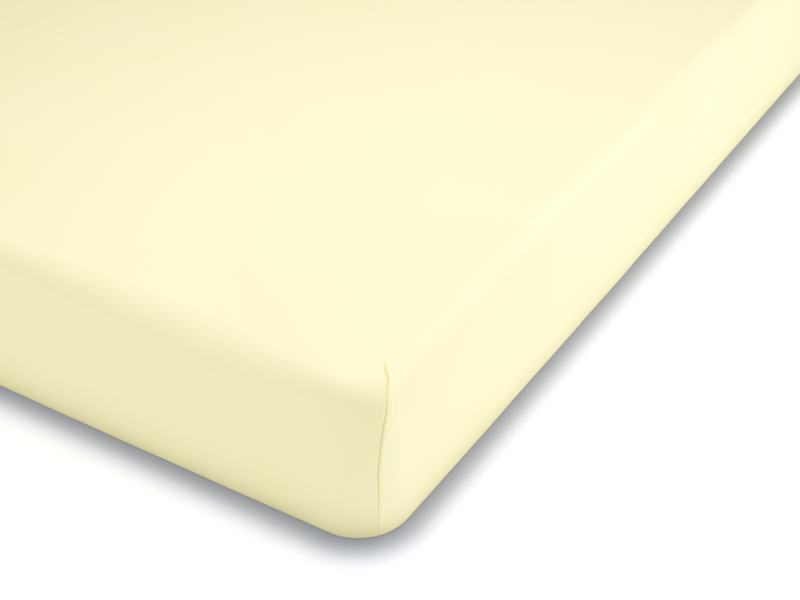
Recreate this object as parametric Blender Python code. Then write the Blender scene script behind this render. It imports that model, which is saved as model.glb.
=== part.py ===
"""A fitted sheet stretched over a plain single mattress.

The sheet is one piece of jersey with four corner seams, and its elasticated edge returns under the
mattress. +X runs along the bed, +Y across it, +Z up, and the origin is the middle of the underside.
The sheet and the mattress are lofted from the same sections, so the cloth follows what it covers.
"""

import math
from typing import NamedTuple

import bmesh
import bpy
from mathutils import Vector

# Driving dimensions, in metres.
MATTRESS_LENGTH = 2.000
MATTRESS_WIDTH = 0.900
MATTRESS_HEIGHT = 0.180
CLOTH = 0.0020  # thickness of the stretched cloth
FACE_GAP = 0.0003  # from the cloth to the mattress, above and below it
EDGE_GAP = 0.0025  # from the cloth to the mattress, at the sides and round the edges
CORNER_RADIUS = 0.055  # in plan, at the foot of a corner, outside the cloth
FOOT_RADIUS = 0.0035  # of the lower edge, outside the cloth
EDGE_SHARE = 0.75  # how far the top edge rounds inward, as a share of how far it rounds down

# What the cloth measures outside, once it is on.
LENGTH = MATTRESS_LENGTH + 2 * (CLOTH + EDGE_GAP)
WIDTH = MATTRESS_WIDTH + 2 * (CLOTH + EDGE_GAP)
HEIGHT = MATTRESS_HEIGHT + 2 * (CLOTH + FACE_GAP)

CROWN_WIDTH = 0.220  # how far in from the side the top becomes level
CROWN_CORNER = 0.110  # radius in plan of the level part's corners
CORNER_SAG = 0.007  # how far the top edge at a corner lies below the middle of the bed
CORNER_HOLLOW = 0.0008  # how far a corner lies inside the widest lines
# The shallow hollow beside a seam, under the top edge: its middle, and how far it reaches.
DENT_ANGLE = 36.0  # degrees from the short end's face
DENT_WIDTH = 15.0  # degrees
DENT_Z = 0.146
DENT_HEIGHT = 0.020
SMOOTH_ANGLE = math.radians(50)


class Station(NamedTuple):
    """How the cloth lies at one place along a side, walking anticlockwise round the bed."""

    distance: float  # from the side's first corner
    rounding: float  # radius of the top edge
    hollow: float  # how far the side lies inside its widest line
    sag: float  # how far the top edge lies below the middle of the bed


class Corner(NamedTuple):
    """How the cloth lies at one corner of the bed."""

    end_rounding: float  # radius of the top edge where the short end begins
    seam_rounding: float  # radius of the top edge at the seam, where the cloth pulls tightest
    side_rounding: float  # radius of the top edge where the long side begins
    lean: float  # how far the seam leans to the long side, as a share of the section's own lean
    dent: float  # depth of the hollow beside the seam


class Section(NamedTuple):
    """One loop round the bed. The zone says what its place is measured in."""

    zone: str
    place: float  # crown, side: a share. edge, foot: degrees. return: metres in from the side
    tuck: float  # how far the loop lies inside the widest one
    corner: float  # radius of its corners in plan, as a share of the foot's
    lean: float  # degrees that the seam stands past the middle of the corner, to the long side
    seam: float  # how strongly the seam shows, from 0 to 1
    plain: bool  # the loop is also one of the inner face and of the mattress


class Relief(NamedTuple):
    """One line beside the corner seam."""

    angle: float  # degrees past the seam, to the long side
    lift: float  # height above the plain cloth


class Skin(NamedTuple):
    """A face of the cloth or of the mattress, as depths below the outside of the cloth."""

    side: float
    face: float
    rounding: float  # how much smaller its edge radius is than the outside's
    sag: float  # sag of its top edge, as a share of the outside's
    seamed: bool


# The near end and the near side are the two that the photograph shows. The far two are plainer.
NEAR_SIDE = (
    Station(0.100, 0.026, 0.0006, 0.0052),
    Station(0.160, 0.029, 0.0004, 0.0036),
    Station(0.230, 0.031, 0.0002, 0.0026),
    Station(0.340, 0.032, 0.0000, 0.0024),
    Station(0.500, 0.031, 0.0000, 0.0022),
    Station(0.720, 0.033, 0.0004, 0.0022),
    Station(0.980, 0.031, 0.0008, 0.0020),
    Station(1.260, 0.033, 0.0006, 0.0024),
    Station(1.540, 0.030, 0.0004, 0.0022),
    Station(1.780, 0.029, 0.0008, 0.0026),
    Station(1.880, 0.027, 0.0008, 0.0046),
)
FAR_END = (
    Station(0.110, 0.026, 0.0006, 0.0046),
    Station(0.240, 0.031, 0.0002, 0.0026),
    Station(0.440, 0.033, 0.0000, 0.0022),
    Station(0.660, 0.030, 0.0003, 0.0026),
    Station(0.800, 0.026, 0.0006, 0.0046),
)
FAR_SIDE = (
    Station(0.120, 0.027, 0.0006, 0.0046),
    Station(0.240, 0.029, 0.0006, 0.0028),
    Station(0.440, 0.032, 0.0002, 0.0024),
    Station(0.720, 0.031, 0.0000, 0.0022),
    Station(1.020, 0.033, 0.0003, 0.0020),
    Station(1.320, 0.031, 0.0002, 0.0022),
    Station(1.600, 0.032, 0.0004, 0.0024),
    Station(1.780, 0.029, 0.0006, 0.0028),
    Station(1.890, 0.027, 0.0006, 0.0046),
)
NEAR_END = (
    Station(0.110, 0.027, 0.0006, 0.0046),
    Station(0.200, 0.028, 0.0006, 0.0028),
    Station(0.300, 0.029, 0.0004, 0.0024),
    Station(0.420, 0.023, 0.0004, 0.0020),
    Station(0.500, 0.025, 0.0002, 0.0022),
    Station(0.580, 0.031, 0.0000, 0.0034),
    Station(0.660, 0.038, 0.0000, 0.0070),
    Station(0.715, 0.042, 0.0000, 0.0098),
    Station(0.765, 0.038, 0.0002, 0.0110),
    Station(0.810, 0.030, 0.0004, 0.0084),
)
SIDES = (NEAR_SIDE, FAR_END, FAR_SIDE, NEAR_END)
# Each side of SIDES ends at the corner that has its place in this list.
CORNERS = (
    Corner(0.025, 0.020, 0.027, 0.6, 0.0006),
    Corner(0.025, 0.021, 0.027, 0.5, 0.0004),
    Corner(0.025, 0.020, 0.027, 0.6, 0.0006),
    Corner(0.020, 0.018, 0.025, 1.0, 0.0018),
)
SECTIONS = (
    Section("crown", 1.00, 0.0015, 1.00, 20.0, 0.0, True),
    Section("crown", 0.55, 0.0015, 1.00, 24.0, 0.0, False),
    Section("crown", 0.25, 0.0015, 1.00, 28.0, 0.0, True),
    Section("crown", 0.03, 0.0015, 1.00, 32.0, 0.0, False),
    Section("edge", 90.0, 0.0015, 0.95, 34.0, 0.5, True),
    Section("edge", 72.0, 0.0015, 0.88, 32.0, 0.8, False),
    Section("edge", 54.0, 0.0015, 0.82, 29.0, 0.9, True),
    Section("edge", 36.0, 0.0015, 0.77, 26.5, 1.0, True),
    Section("edge", 18.0, 0.0015, 0.73, 24.0, 1.0, False),
    Section("side", 1.00, 0.0015, 0.70, 22.7, 1.0, True),
    Section("side", 0.88, 0.0010, 0.72, 15.5, 1.0, False),
    Section("side", 0.72, 0.0004, 0.78, 10.0, 1.0, False),
    Section("side", 0.50, 0.0000, 0.86, 6.8, 1.0, True),
    Section("side", 0.24, 0.0003, 0.95, 6.0, 1.0, False),
    Section("side", 0.00, 0.0008, 1.00, 5.8, 0.9, True),
    Section("foot", 30.0, 0.0008, 1.00, 6.3, 0.7, True),
    Section("foot", 60.0, 0.0008, 1.00, 7.2, 0.4, True),
    Section("foot", 90.0, 0.0008, 1.00, 8.0, 0.0, True),
    Section("return", 0.055, 0.0008, 1.00, 5.0, 0.0, False),
    Section("return", 0.110, 0.0008, 1.00, 0.0, 0.0, True),
)
SEAM_RELIEF = (
    Relief(-8.0, 0.0000),
    Relief(-3.6, 0.0002),
    Relief(-1.6, 0.0004),
    Relief(0.0, -0.0009),
    Relief(1.6, 0.0010),
    Relief(4.0, 0.0009),
    Relief(9.0, 0.0003),
)
OPEN_STEPS = 4  # columns from the end of a side to the seam's own, and from them to the next side

OUTSIDE = Skin(side=0.0, face=0.0, rounding=0.0, sag=1.0, seamed=True)
INSIDE = Skin(side=CLOTH, face=CLOTH, rounding=CLOTH, sag=1.0, seamed=False)
FILLING = Skin(
    side=CLOTH + EDGE_GAP, face=CLOTH + FACE_GAP, rounding=-0.004, sag=1.07, seamed=False
)


class Column(NamedTuple):
    """One line from the middle of the top to the hem, on a side or on the corner at its end.

    The kind is side on a side, and before, seam or after on a corner, in walking order.
    """

    quarter: int  # which side, counted anticlockwise from the near one
    kind: str
    share: float = 0.0  # how far along the side, or round its stretch of the corner
    station: Station | None = None  # on a side
    past_seam: float = 0.0  # on a seam column, degrees past the seam in walking order
    lift: float = 0.0  # on a seam column, height above the plain cloth


def clear_scene() -> None:
    """Remove every object that the scene starts with."""
    for thing in list(bpy.data.objects):
        bpy.data.objects.remove(thing, do_unlink=True)


def half_extents(quarter: int) -> tuple[float, float]:
    """Half the outline along a side and across it."""
    if quarter % 2 == 0:
        return LENGTH / 2, WIDTH / 2
    return WIDTH / 2, LENGTH / 2


def blend(low: float, high: float, share: float) -> float:
    """The value a share of the way from low to high."""
    return low + (high - low) * share


def side_columns(quarter: int) -> list[Column]:
    """The columns on one straight side, one for each of its stations."""
    along = half_extents(quarter)[0]
    straight = 2 * (along - CORNER_RADIUS)
    return [
        Column(quarter, "side", (station.distance - CORNER_RADIUS) / straight, station)
        for station in SIDES[quarter]
    ]


def seamed_columns(quarter: int) -> list[Column]:
    """The columns round one corner, close together at its seam."""
    order = 1 if quarter % 2 else -1  # the short end comes first at every second corner
    before = [Column(quarter, "before", step / OPEN_STEPS) for step in range(OPEN_STEPS)]
    seam = [
        Column(quarter, "seam", past_seam=order * line.angle, lift=line.lift)
        for line in SEAM_RELIEF
    ]
    after = [Column(quarter, "after", (step + 1) / OPEN_STEPS) for step in range(OPEN_STEPS)]
    return before + seam[::order] + after


def all_columns() -> list[Column]:
    """The columns round the whole bed, anticlockwise from the near side."""
    return [
        column
        for quarter in range(4)
        for column in side_columns(quarter) + seamed_columns(quarter)
    ]


def seam_angle(quarter: int, section: Section) -> float:
    """Where the seam stands, in degrees round the corner in walking order."""
    lean = section.lean * CORNERS[quarter].lean
    return 45 + lean if quarter % 2 else 45 - lean


def corner_angle(column: Column, section: Section) -> float:
    """How far round its corner a column stands, in degrees in walking order."""
    seam = seam_angle(column.quarter, section)
    reach = [abs(line.angle) for line in (SEAM_RELIEF[0], SEAM_RELIEF[-1])]
    first, last = reach if column.quarter % 2 else reach[::-1]
    if column.kind == "before":
        return (seam - first) * column.share
    if column.kind == "seam":
        return seam + column.past_seam
    return blend(seam + last, 90, column.share)


def angle_from_end(column: Column, section: Section) -> float:
    """How far round its corner a column stands, in degrees from the short end's face."""
    angle = corner_angle(column, section)
    return angle if column.quarter % 2 else 90 - angle


def lie_of(column: Column, section: Section) -> tuple[float, float, float]:
    """Radius of the top edge, hollow of the side and sag of the top edge at a column."""
    if column.station:
        return column.station.rounding, column.station.hollow, column.station.sag
    corner = CORNERS[column.quarter]
    seam = 45 + section.lean * corner.lean
    angle = angle_from_end(column, section)
    if angle < seam:
        rounding = blend(corner.end_rounding, corner.seam_rounding, angle / seam)
    else:
        share = (angle - seam) / (90 - seam)
        rounding = blend(corner.seam_rounding, corner.side_rounding, share)
    return rounding, CORNER_HOLLOW, CORNER_SAG


def dent_at(column: Column, section: Section, z: float) -> float:
    """How deep the hollow beside the corner seam is at a column and a height."""
    if column.station:
        return 0.0
    across = (angle_from_end(column, section) - DENT_ANGLE) / DENT_WIDTH
    upward = (z - DENT_Z) / DENT_HEIGHT
    return CORNERS[column.quarter].dent * math.exp(-(across**2) - upward**2)


def plan_place(
    column: Column, section: Section, inset: float, radius: float
) -> tuple[Vector, Vector]:
    """Where a column crosses a rounded rectangle, and the way out of it there, both in plan."""
    along, across = half_extents(column.quarter)
    turn = math.radians(90 * column.quarter)
    walk = Vector((math.cos(turn), math.sin(turn), 0.0))
    out = Vector((math.sin(turn), -math.cos(turn), 0.0))
    centre_along = along - inset - radius
    centre_across = across - inset - radius
    if column.station:
        run = blend(-centre_along, centre_along, column.share)
        return walk * run + out * (across - inset), out
    angle = math.radians(corner_angle(column, section))
    way = out * math.cos(angle) + walk * math.sin(angle)
    return walk * centre_along + out * centre_across + way * radius, way


def skin_point(column: Column, section: Section, skin: Skin) -> Vector:
    """The point where a column meets a section, on one skin."""
    rounding, hollow, sag = lie_of(column, section)
    sag *= skin.sag
    edge_top = HEIGHT - sag
    edge_radius = rounding - skin.rounding
    edge_reach = EDGE_SHARE * edge_radius
    foot_radius = FOOT_RADIUS - skin.rounding
    inset = section.tuck + hollow + skin.side
    corner_radius = CORNER_RADIUS * section.corner
    radius = corner_radius - inset
    out_share, up_share = 1.0, 0.0
    if section.zone == "crown":
        inset = blend(inset + edge_reach, CROWN_WIDTH, section.place)
        start = corner_radius - EDGE_SHARE * rounding
        radius = blend(start, CROWN_CORNER, section.place)
        z = edge_top - skin.face + sag * math.sin(section.place * math.pi / 2)
        out_share, up_share = 0.0, 1.0
    elif section.zone == "edge":
        angle = math.radians(section.place)
        out_share, up_share = math.cos(angle), math.sin(angle)
        inset += edge_reach * (1 - out_share)
        radius -= edge_reach * (1 - out_share)
        z = edge_top - skin.face - edge_radius * (1 - up_share)
    elif section.zone == "side":
        low = skin.face + foot_radius
        high = edge_top - skin.face - edge_radius
        z = blend(low, high, section.place)
    elif section.zone == "foot":
        angle = math.radians(section.place)
        out_share, up_share = math.cos(angle), -math.sin(angle)
        inset += foot_radius * (1 - out_share)
        radius -= foot_radius * (1 - out_share)
        z = skin.face + foot_radius * (1 + up_share)
    else:
        inset = section.tuck + section.place
        radius = CORNER_RADIUS + section.place
        z = skin.face
        out_share, up_share = 0.0, -1.0
    point, way = plan_place(column, section, inset, radius)
    point.z = z
    push = -dent_at(column, section, z)
    if skin.seamed:
        push += column.lift * section.seam
    return point + (way * out_share + Vector((0.0, 0.0, up_share))) * push


def add_loops(
    bm: bmesh.types.BMesh, sections: list[Section], skin: Skin
) -> list[list[bmesh.types.BMVert]]:
    """Add one loop of points for each section, closed round the bed."""
    columns = all_columns()
    return [
        [bm.verts.new(skin_point(column, section, skin)) for column in columns]
        for section in sections
    ]


def join_loops(bm: bmesh.types.BMesh, loops: list[list[bmesh.types.BMVert]]) -> None:
    """Bridge each loop to the next, point to point, with every square cut the same way.

    The faces of the cloth and of the mattress then stay parallel where the top is twisted.
    """
    for upper, lower in zip(loops, loops[1:]):
        for index, corner in enumerate(upper):
            bm.faces.new((corner, upper[index - 1], lower[index - 1]))
            bm.faces.new((corner, lower[index - 1], lower[index]))


def linear(shade: str) -> tuple[float, float, float, float]:
    """A hexadecimal screen colour as the linear values that a shader takes."""
    channels = [int(shade[start : start + 2], 16) / 255 for start in (0, 2, 4)]
    values = [c / 12.92 if c <= 0.04045 else ((c + 0.055) / 1.055) ** 2.4 for c in channels]
    return values[0], values[1], values[2], 1.0


def add_piece(name: str, bm: bmesh.types.BMesh, shade: str, roughness: float) -> None:
    """Turn a closed mesh into the object of one piece, with its own material."""
    bmesh.ops.recalc_face_normals(bm, faces=bm.faces)
    mesh = bpy.data.meshes.new(name)
    bm.to_mesh(mesh)
    bm.free()
    mesh.shade_smooth()
    mesh.set_sharp_from_angle(angle=SMOOTH_ANGLE)
    material = bpy.data.materials.new(name)
    material.use_nodes = True
    shader = material.node_tree.nodes["Principled BSDF"]
    shader.inputs["Base Color"].default_value = linear(shade)
    shader.inputs["Roughness"].default_value = roughness
    shader.inputs["Metallic"].default_value = 0.0
    mesh.materials.append(material)
    piece = bpy.data.objects.new(name, mesh)
    bpy.context.scene.collection.objects.link(piece)


def build_sheet() -> None:
    """The sheet: an outer face with the corner seams, a plain inner face, joined at the hem."""
    bm = bmesh.new()
    outer = add_loops(bm, list(SECTIONS), OUTSIDE)
    inner = add_loops(bm, [section for section in SECTIONS if section.plain], INSIDE)
    join_loops(bm, outer)
    join_loops(bm, inner)
    join_loops(bm, [outer[-1], inner[-1]])
    bm.faces.new(outer[0])
    bm.faces.new(inner[0])
    add_piece("fitted_sheet", bm, "FBF5CD", 0.85)


def build_mattress() -> None:
    """The mattress: one plain filled block with the same rounded edges."""
    sections = [section for section in SECTIONS if section.plain and section.zone != "return"]
    bm = bmesh.new()
    loops = add_loops(bm, sections, FILLING)
    join_loops(bm, loops)
    bm.faces.new(loops[0])
    bm.faces.new(loops[-1])
    add_piece("mattress", bm, "F1EFE8", 0.9)


def main() -> None:
    """Build both pieces in an empty scene."""
    clear_scene()
    build_sheet()
    build_mattress()


if __name__ == "__main__":
    main()
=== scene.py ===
"""A jersey fitted sheet, stretched over a plain single mattress, dressed for its picture.

The cloth is lofted from the same sizes as its solid, only finer. It adds what the solid leaves
out: the sewn corners with their grooves and puckers, the gathered hem underneath, and the knit. All
sizes are in metres. +X runs along the bed, +Y across it, and the photographed corner is at -X and
-Y.
"""

import logging
import math
from collections.abc import Iterator
from dataclasses import dataclass, field
from enum import Enum
from typing import Any

import bmesh
import bpy
from mathutils import Matrix, Vector, noise


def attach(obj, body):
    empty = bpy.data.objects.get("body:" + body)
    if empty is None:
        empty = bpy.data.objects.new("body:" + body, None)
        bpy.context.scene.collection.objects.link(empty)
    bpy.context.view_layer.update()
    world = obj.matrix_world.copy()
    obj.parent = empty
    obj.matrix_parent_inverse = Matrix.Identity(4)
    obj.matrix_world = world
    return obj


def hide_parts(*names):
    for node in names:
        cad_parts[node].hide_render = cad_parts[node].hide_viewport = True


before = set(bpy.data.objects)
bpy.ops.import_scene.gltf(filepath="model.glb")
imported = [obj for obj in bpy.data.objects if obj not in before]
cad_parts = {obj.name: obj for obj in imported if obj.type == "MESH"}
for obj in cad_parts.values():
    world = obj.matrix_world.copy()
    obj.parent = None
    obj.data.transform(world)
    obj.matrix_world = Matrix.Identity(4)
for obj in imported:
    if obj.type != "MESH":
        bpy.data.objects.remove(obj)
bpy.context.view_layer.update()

log = logging.getLogger("fitted_sheet")

UP = Vector((0.0, 0.0, 1.0))
WAVE_PERIOD = math.pi / 10  # of the wave texture at a scale of 1


class Zone(Enum):
    """The bands of the cloth, from the middle of the top to the hem."""

    CROWN = "crown"
    EDGE = "edge"
    SIDE = "side"
    FOOT = "foot"
    RETURN = "return"


class Span(Enum):
    """Where a column runs: down a straight side, or before or after the seam of a corner."""

    SIDE = "side"
    BEFORE = "before"
    SEAM = "seam"
    AFTER = "after"


@dataclass(frozen=True)
class Station:
    """How the cloth lies at one place along a side, walking anticlockwise round the bed."""

    distance: float  # from the side's first corner
    rounding: float  # radius of the top edge
    hollow: float  # how far the side lies inside its widest line
    sag: float  # how far the top edge lies below the middle of the bed


@dataclass(frozen=True)
class Corner:
    """How the cloth lies at one corner of the bed."""

    end_rounding: float
    seam_rounding: float
    side_rounding: float
    lean: float  # how far the seam leans to the long side, as a share of the section's own lean
    dent: float  # depth of the hollow beside the seam


@dataclass(frozen=True)
class Section:
    """One loop round the bed. The zone says what its place is measured in."""

    zone: Zone
    place: float  # crown, side: a share. edge, foot: degrees. return: metres in from the side
    tuck: float  # how far the loop lies inside the widest one
    corner: float  # radius of its corners in plan, as a share of the foot's
    lean: float  # degrees that the seam stands past the middle of the corner, to the long side
    sewn: float = 0.0  # how strongly the seam shows: 1 down the side, more over the top edge


@dataclass(frozen=True)
class Skin:
    """A face of the cloth or of the mattress, as depths below the outside of the cloth."""

    side: float
    face: float
    rounding: float  # how much smaller its edge radius is than the outside's
    sag: float  # sag of its top edge, as a share of the outside's
    detailed: bool = False  # whether it carries the seam, the dent and the unevenness


@dataclass(frozen=True)
class Column:
    """One line from the middle of the top to the hem."""

    quarter: int  # which side, counted anticlockwise from the near one
    span: Span
    share: float = 0.0  # how far along the side, or round its stretch of the corner
    past_seam: float = 0.0  # on a seam column, degrees past the seam in walking order
    rounding: float = 0.0
    hollow: float = 0.0
    sag: float = 0.0
    run: float = 0.0  # how far round the bed it stands


NEAR_SIDE = (
    Station(0.100, 0.026, 0.0006, 0.0052),
    Station(0.160, 0.029, 0.0004, 0.0036),
    Station(0.230, 0.031, 0.0002, 0.0026),
    Station(0.340, 0.032, 0.0000, 0.0024),
    Station(0.500, 0.031, 0.0000, 0.0022),
    Station(0.720, 0.033, 0.0004, 0.0022),
    Station(0.980, 0.031, 0.0008, 0.0020),
    Station(1.260, 0.033, 0.0006, 0.0024),
    Station(1.540, 0.030, 0.0004, 0.0022),
    Station(1.780, 0.029, 0.0008, 0.0026),
    Station(1.880, 0.027, 0.0008, 0.0046),
)
FAR_END = (
    Station(0.110, 0.026, 0.0006, 0.0046),
    Station(0.240, 0.031, 0.0002, 0.0026),
    Station(0.440, 0.033, 0.0000, 0.0022),
    Station(0.660, 0.030, 0.0003, 0.0026),
    Station(0.800, 0.026, 0.0006, 0.0046),
)
FAR_SIDE = (
    Station(0.120, 0.027, 0.0006, 0.0046),
    Station(0.240, 0.029, 0.0006, 0.0028),
    Station(0.440, 0.032, 0.0002, 0.0024),
    Station(0.720, 0.031, 0.0000, 0.0022),
    Station(1.020, 0.033, 0.0003, 0.0020),
    Station(1.320, 0.031, 0.0002, 0.0022),
    Station(1.600, 0.032, 0.0004, 0.0024),
    Station(1.780, 0.029, 0.0006, 0.0028),
    Station(1.890, 0.027, 0.0006, 0.0046),
)
NEAR_END = (
    Station(0.110, 0.027, 0.0006, 0.0046),
    Station(0.200, 0.028, 0.0006, 0.0028),
    Station(0.300, 0.029, 0.0004, 0.0024),
    Station(0.420, 0.023, 0.0004, 0.0020),
    Station(0.500, 0.025, 0.0002, 0.0022),
    Station(0.580, 0.031, 0.0000, 0.0034),
    Station(0.660, 0.038, 0.0000, 0.0070),
    Station(0.715, 0.042, 0.0000, 0.0098),
    Station(0.765, 0.038, 0.0002, 0.0110),
    Station(0.810, 0.030, 0.0004, 0.0084),
)
SIDES = (NEAR_SIDE, FAR_END, FAR_SIDE, NEAR_END)
CORNERS = (
    Corner(0.025, 0.020, 0.027, 0.6, 0.0006),
    Corner(0.025, 0.021, 0.027, 0.5, 0.0004),
    Corner(0.025, 0.020, 0.027, 0.6, 0.0006),
    Corner(0.020, 0.018, 0.025, 1.0, 0.0022),
)
SECTIONS = (
    Section(Zone.CROWN, 1.00, 0.0015, 1.00, 20.0, 0.0),
    Section(Zone.CROWN, 0.55, 0.0015, 1.00, 20.5, 0.0),
    Section(Zone.CROWN, 0.25, 0.0015, 1.00, 22.0, 0.0),
    Section(Zone.CROWN, 0.045, 0.0015, 1.00, 26.3, 1.6),
    Section(Zone.EDGE, 90.0, 0.0015, 0.95, 30.0, 1.9),
    Section(Zone.EDGE, 72.0, 0.0015, 0.88, 30.3, 1.8),
    Section(Zone.EDGE, 54.0, 0.0015, 0.82, 28.2, 1.3),
    Section(Zone.EDGE, 36.0, 0.0015, 0.77, 24.8, 0.8),
    Section(Zone.EDGE, 18.0, 0.0015, 0.73, 22.3, 0.65),
    Section(Zone.SIDE, 1.00, 0.0015, 0.70, 21.2, 0.7),
    Section(Zone.SIDE, 0.88, 0.0010, 0.72, 15.6, 1.0),
    Section(Zone.SIDE, 0.72, 0.0004, 0.78, 10.0, 1.0),
    Section(Zone.SIDE, 0.50, 0.0000, 0.86, 6.2, 1.0),
    Section(Zone.SIDE, 0.24, 0.0003, 0.95, 6.1, 0.55),
    Section(Zone.SIDE, 0.00, 0.0008, 1.00, 5.8, 0.25),
    Section(Zone.FOOT, 30.0, 0.0008, 1.00, 6.3, 0.2),
    Section(Zone.FOOT, 60.0, 0.0008, 1.00, 7.2, 0.1),
    Section(Zone.FOOT, 90.0, 0.0008, 1.00, 8.0, 0.1),
    Section(Zone.RETURN, 0.055, 0.0008, 1.00, 5.0, 0.1),
    Section(Zone.RETURN, 0.110, 0.0008, 1.00, 0.0, 0.1),
)
# Levels are places in SECTIONS. One with a fraction lies between two sections.
EDGE_TOP = 4  # the upper end of the top edge's rounding
SKIRT_START = EDGE_TOP - 0.5  # where the cloth, laid flat, begins to turn from top to skirt
SIDE_TOP = 9
SIDE_FOOT = 14
FOOT_END = 17
HEM = 19
HEM_FOLD = HEM + 0.01  # the middle of the fold at the hem's very edge
# How many loops the outside of the cloth has from each section to the next.
LOOP_STEPS = (3, 4, 5, 7, 6, 5, 5, 5, 5, 6, 8, 11, 12, 11, 3, 3, 3, 4, 10)
# The loops of a skin that is out of sight, with three more where the corner seams begin.
HIDDEN_LEVELS = tuple(sorted((-1.0, -0.5, 3.3, 3.45, 3.6, *range(FOOT_END + 1))))


def blend(low: float, high: float, share: float) -> float:
    """The value a share of the way from low to high."""
    return low + (high - low) * share


def ramp(low: float, high: float, value: float) -> float:
    """How far a value is from low to high, from 0 to 1, easing in and out."""
    share = min(max((value - low) / (high - low), 0.0), 1.0)
    return share * share * (3.0 - 2.0 * share)


def bell(offset: float, reach: float) -> float:
    """A smooth bump, 1 at no offset and small beyond its reach."""
    return math.exp(-((offset / reach) ** 2))


def smooth_through(knots: list[tuple[float, float]], at: float) -> float:
    """Follow a smooth line through some values, without overshooting them.

    Args:
        knots: Places and their values, in order.
        at: The place that is asked for.

    Returns:
        The line's value there.
    """
    places = [knot[0] for knot in knots]
    values = [knot[1] for knot in knots]
    last = len(knots) - 2
    index = next((i for i in range(last) if at < places[i + 1]), last)
    steep = [
        (values[i + 1] - values[i]) / (places[i + 1] - places[i]) for i in range(len(knots) - 1)
    ]

    def slope(i: int) -> float:
        """The line's slope at a knot: the mean of those beside it, or level at a turn.

        Args:
            i: The knot.

        Returns:
            The slope.
        """
        if i == 0 or i == len(knots) - 1:
            return steep[min(i, last)]
        before, after = steep[i - 1], steep[i]
        return 0.0 if before * after <= 0 else 2 * before * after / (before + after)

    width = places[index + 1] - places[index]
    share = min(max((at - places[index]) / width, 0.0), 1.0)
    square, cube = share**2, share**3
    return (
        values[index] * (2 * cube - 3 * square + 1)
        + slope(index) * width * (cube - 2 * square + share)
        + values[index + 1] * (3 * square - 2 * cube)
        + slope(index + 1) * width * (cube - square)
    )


def spaced(line: list[Vector], pitch: float) -> Iterator[tuple[int, Vector]]:
    """Walk along a line in even steps.

    Args:
        line: The line's points, in order.
        pitch: From one step to the next.

    Yields:
        For each step, which stretch of the line it is on, and its place.
    """
    travelled = 0.0
    for stretch, (here, there) in enumerate(zip(line, line[1:])):
        length = (there - here).length
        while travelled < length:
            yield stretch, here.lerp(there, travelled / length)
            travelled += pitch
        travelled -= length


def side_ways(quarter: int) -> tuple[Vector, Vector]:
    """The way along a side of the bed, and the way out of it.

    Args:
        quarter: Which side, counted anticlockwise from the near one.

    Returns:
        Two level vectors of length 1: anticlockwise along the side, and away from the bed.
    """
    turn = math.radians(90 * quarter)
    walk = Vector((math.cos(turn), math.sin(turn), 0.0))
    out = Vector((math.sin(turn), -math.cos(turn), 0.0))
    return walk, out


@dataclass(frozen=True)
class CornerSeam:
    """The relief of a sewn corner: two edges of jersey turned in and sewn to each other."""

    groove_depth: float = 0.0021
    groove_width: float = 0.00085
    rim_height: float = 0.0006  # the rolled edge on the side of the short end
    rim_offset: float = -0.0022
    rim_width: float = 0.0012
    rim_least: float = 0.3  # how much of its height it has in the upper part of the seam
    rim_start: float = 0.08  # how far down the seam it begins to stand out more
    rim_full: float = 0.14
    ridge_height: float = 0.0007  # the fuller edge on the side of the long side
    ridge_offset: float = 0.0032
    ridge_width: float = 0.0030
    pucker_height: float = 0.00035
    pucker_pitch: float = 0.0062
    pucker_reach: float = 0.0080
    edges_apart: float = 3.1  # keeps the two edges of a seam from puckering alike
    corners_apart: float = 7.3  # and the four seams
    dimple_depth: float = 0.0010  # where the seam ends on the top
    dimple_reach: float = 0.0022
    dimple_drop: float = 0.0015  # how far below that end its middle lies
    start: float = -0.0066  # where the seam begins, over the upper end of the rounding
    sewn_in: float = 0.0022  # how far down from there the groove reaches its whole depth
    raised_at: float = 0.014  # how far down the seam its edges stand out in full
    turned_in: float = 0.0022  # how far the sewn edges press into what lies behind them
    turned_width: float = 0.010
    fold_height: float = 0.0032  # how far the two panels stand out where they meet
    fold_reach: float = 0.014
    fold_ramp: tuple[float, float] = (0.015, 0.040)  # where it grows, down the seam
    fold_fade: tuple[float, float] = (0.140, 0.185)  # and where it flattens again

    def height(self, across: float, below: float, sewn: float, quarter: int) -> float:
        """Height of the cloth's face beside the seam, over the plain form.

        Args:
            across: How far the point lies to the long side of the seam.
            below: How far it lies below the seam's upper end.
            sewn: How strongly the seam shows there, as the section says.
            quarter: Which corner it is, so that no two pucker alike.

        Returns:
            The height, below 0 in the groove.
        """
        rolled = blend(self.rim_least, 1.0, ramp(self.rim_start, self.rim_full, below))
        edges = (
            rolled * self.rim_height * bell(across - self.rim_offset, self.rim_width)
            + self.ridge_height * bell(across - self.ridge_offset, self.ridge_width)
        )
        edge = math.copysign(self.edges_apart, across)
        spot = Vector((below / self.pucker_pitch, edge, quarter * self.corners_apart))
        pucker = self.pucker_height * noise.noise(spot) * bell(across, self.pucker_reach)
        groove = self.groove_depth * bell(across, self.groove_width)
        from_dimple = math.hypot(across, below - self.start - self.dimple_drop)
        dimple = self.dimple_depth * bell(from_dimple, self.dimple_reach)
        fold = self.fold_height * ramp(*self.fold_ramp, below) * (1 - ramp(*self.fold_fade, below))
        fold *= math.exp(-abs(across) / self.fold_reach)
        raised = sewn * ramp(self.start, self.raised_at, below) * (edges + pucker) + fold
        return raised - sewn * self.begun(below) * groove - dimple

    def begun(self, below: float) -> float:
        """How far the seam has begun at a place, from 0 above its end to 1."""
        return ramp(self.start, self.start + self.sewn_in, below)

    def inner_height(self, across: float, below: float, sewn: float) -> float:
        """How far the sewn edges push in what lies behind the seam, below 0."""
        return -self.turned_in * sewn * self.begun(below) * bell(across, self.turned_width)


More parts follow.
